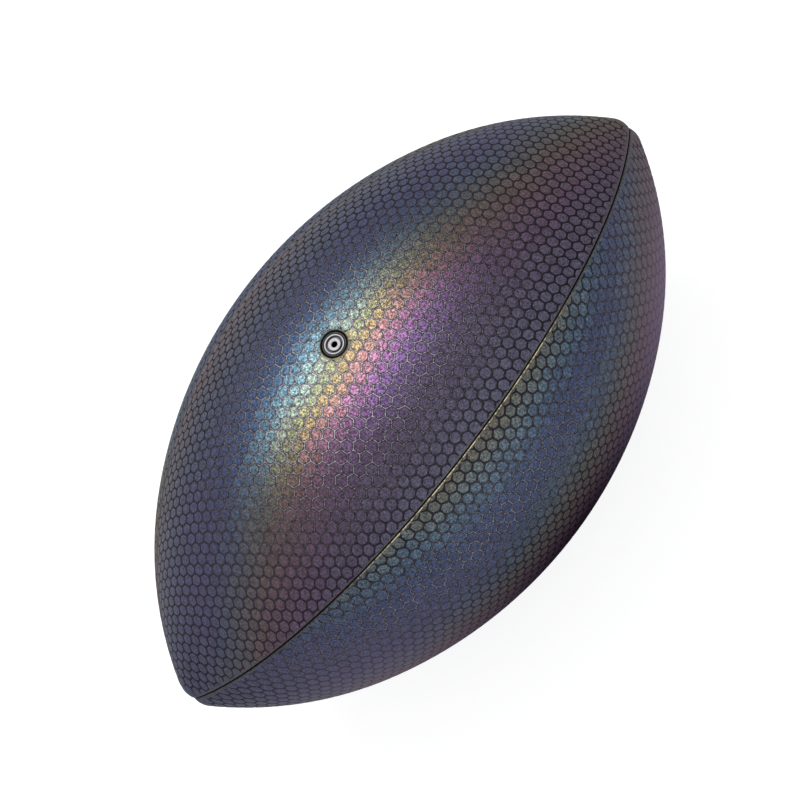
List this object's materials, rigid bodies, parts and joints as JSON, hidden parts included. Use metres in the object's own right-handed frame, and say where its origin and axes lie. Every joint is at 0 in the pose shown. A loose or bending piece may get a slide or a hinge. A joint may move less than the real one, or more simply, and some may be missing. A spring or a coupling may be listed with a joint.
{
  "type": "rugby ball",
  "caption": "Inflatable rugby ball: pointed oval of stitched embossed panels over foam, cloth and a rubber bladder, with a flush push-in needle valve.",
  "frame": {"origin": "centre of the ball, midway between the tips and on the long axis", "axes": "+X along the long axis from tip to tip, +Z out through the valve at the middle of the top panel, +Y completes a right-handed frame"},
  "size_m": [0.285, 0.164, 0.1639],
  "materials": {
    "cover": "embossed synthetic leather, satin, with a colour-shifting film",
    "foam": "closed-cell foam sheet",
    "lining": "plain-woven cotton and polyester cloth",
    "thread": "waxed twisted polyester thread",
    "bladder": "smooth butyl rubber",
    "stiffener": "firm moulded rubber",
    "valve_body": "moulded black rubber, slight gloss",
    "valve_plug": "moulded dark grey rubber, slight gloss"
  },
  "bodies": {
    "ball": {"cover_panel_top": "cover", "cover_panel_front": "cover", "cover_panel_bottom": "cover", "cover_panel_rear": "cover", "foam_backing_top": "foam", "foam_backing_front": "foam", "foam_backing_bottom": "foam", "foam_backing_rear": "foam", "lining_cloth_top": "lining", "lining_cloth_front": "lining", "lining_cloth_bottom": "lining", "lining_cloth_rear": "lining", "seam_thread_top_front": "thread", "seam_thread_front_bottom": "thread", "seam_thread_bottom_rear": "thread", "seam_thread_rear_top": "thread", "bladder": "bladder", "bladder_valve_patch": "bladder", "valve_hole_ring": "stiffener", "valve_body": "valve_body"},
    "plug": {"valve_plug": "valve_plug"}
  },
  "joints": [
    {"name": "plug_pull", "type": "slide", "parent": "ball", "child": "plug", "axis": [0, 0, 1], "range_m": [0, 0.03]}
  ]
}
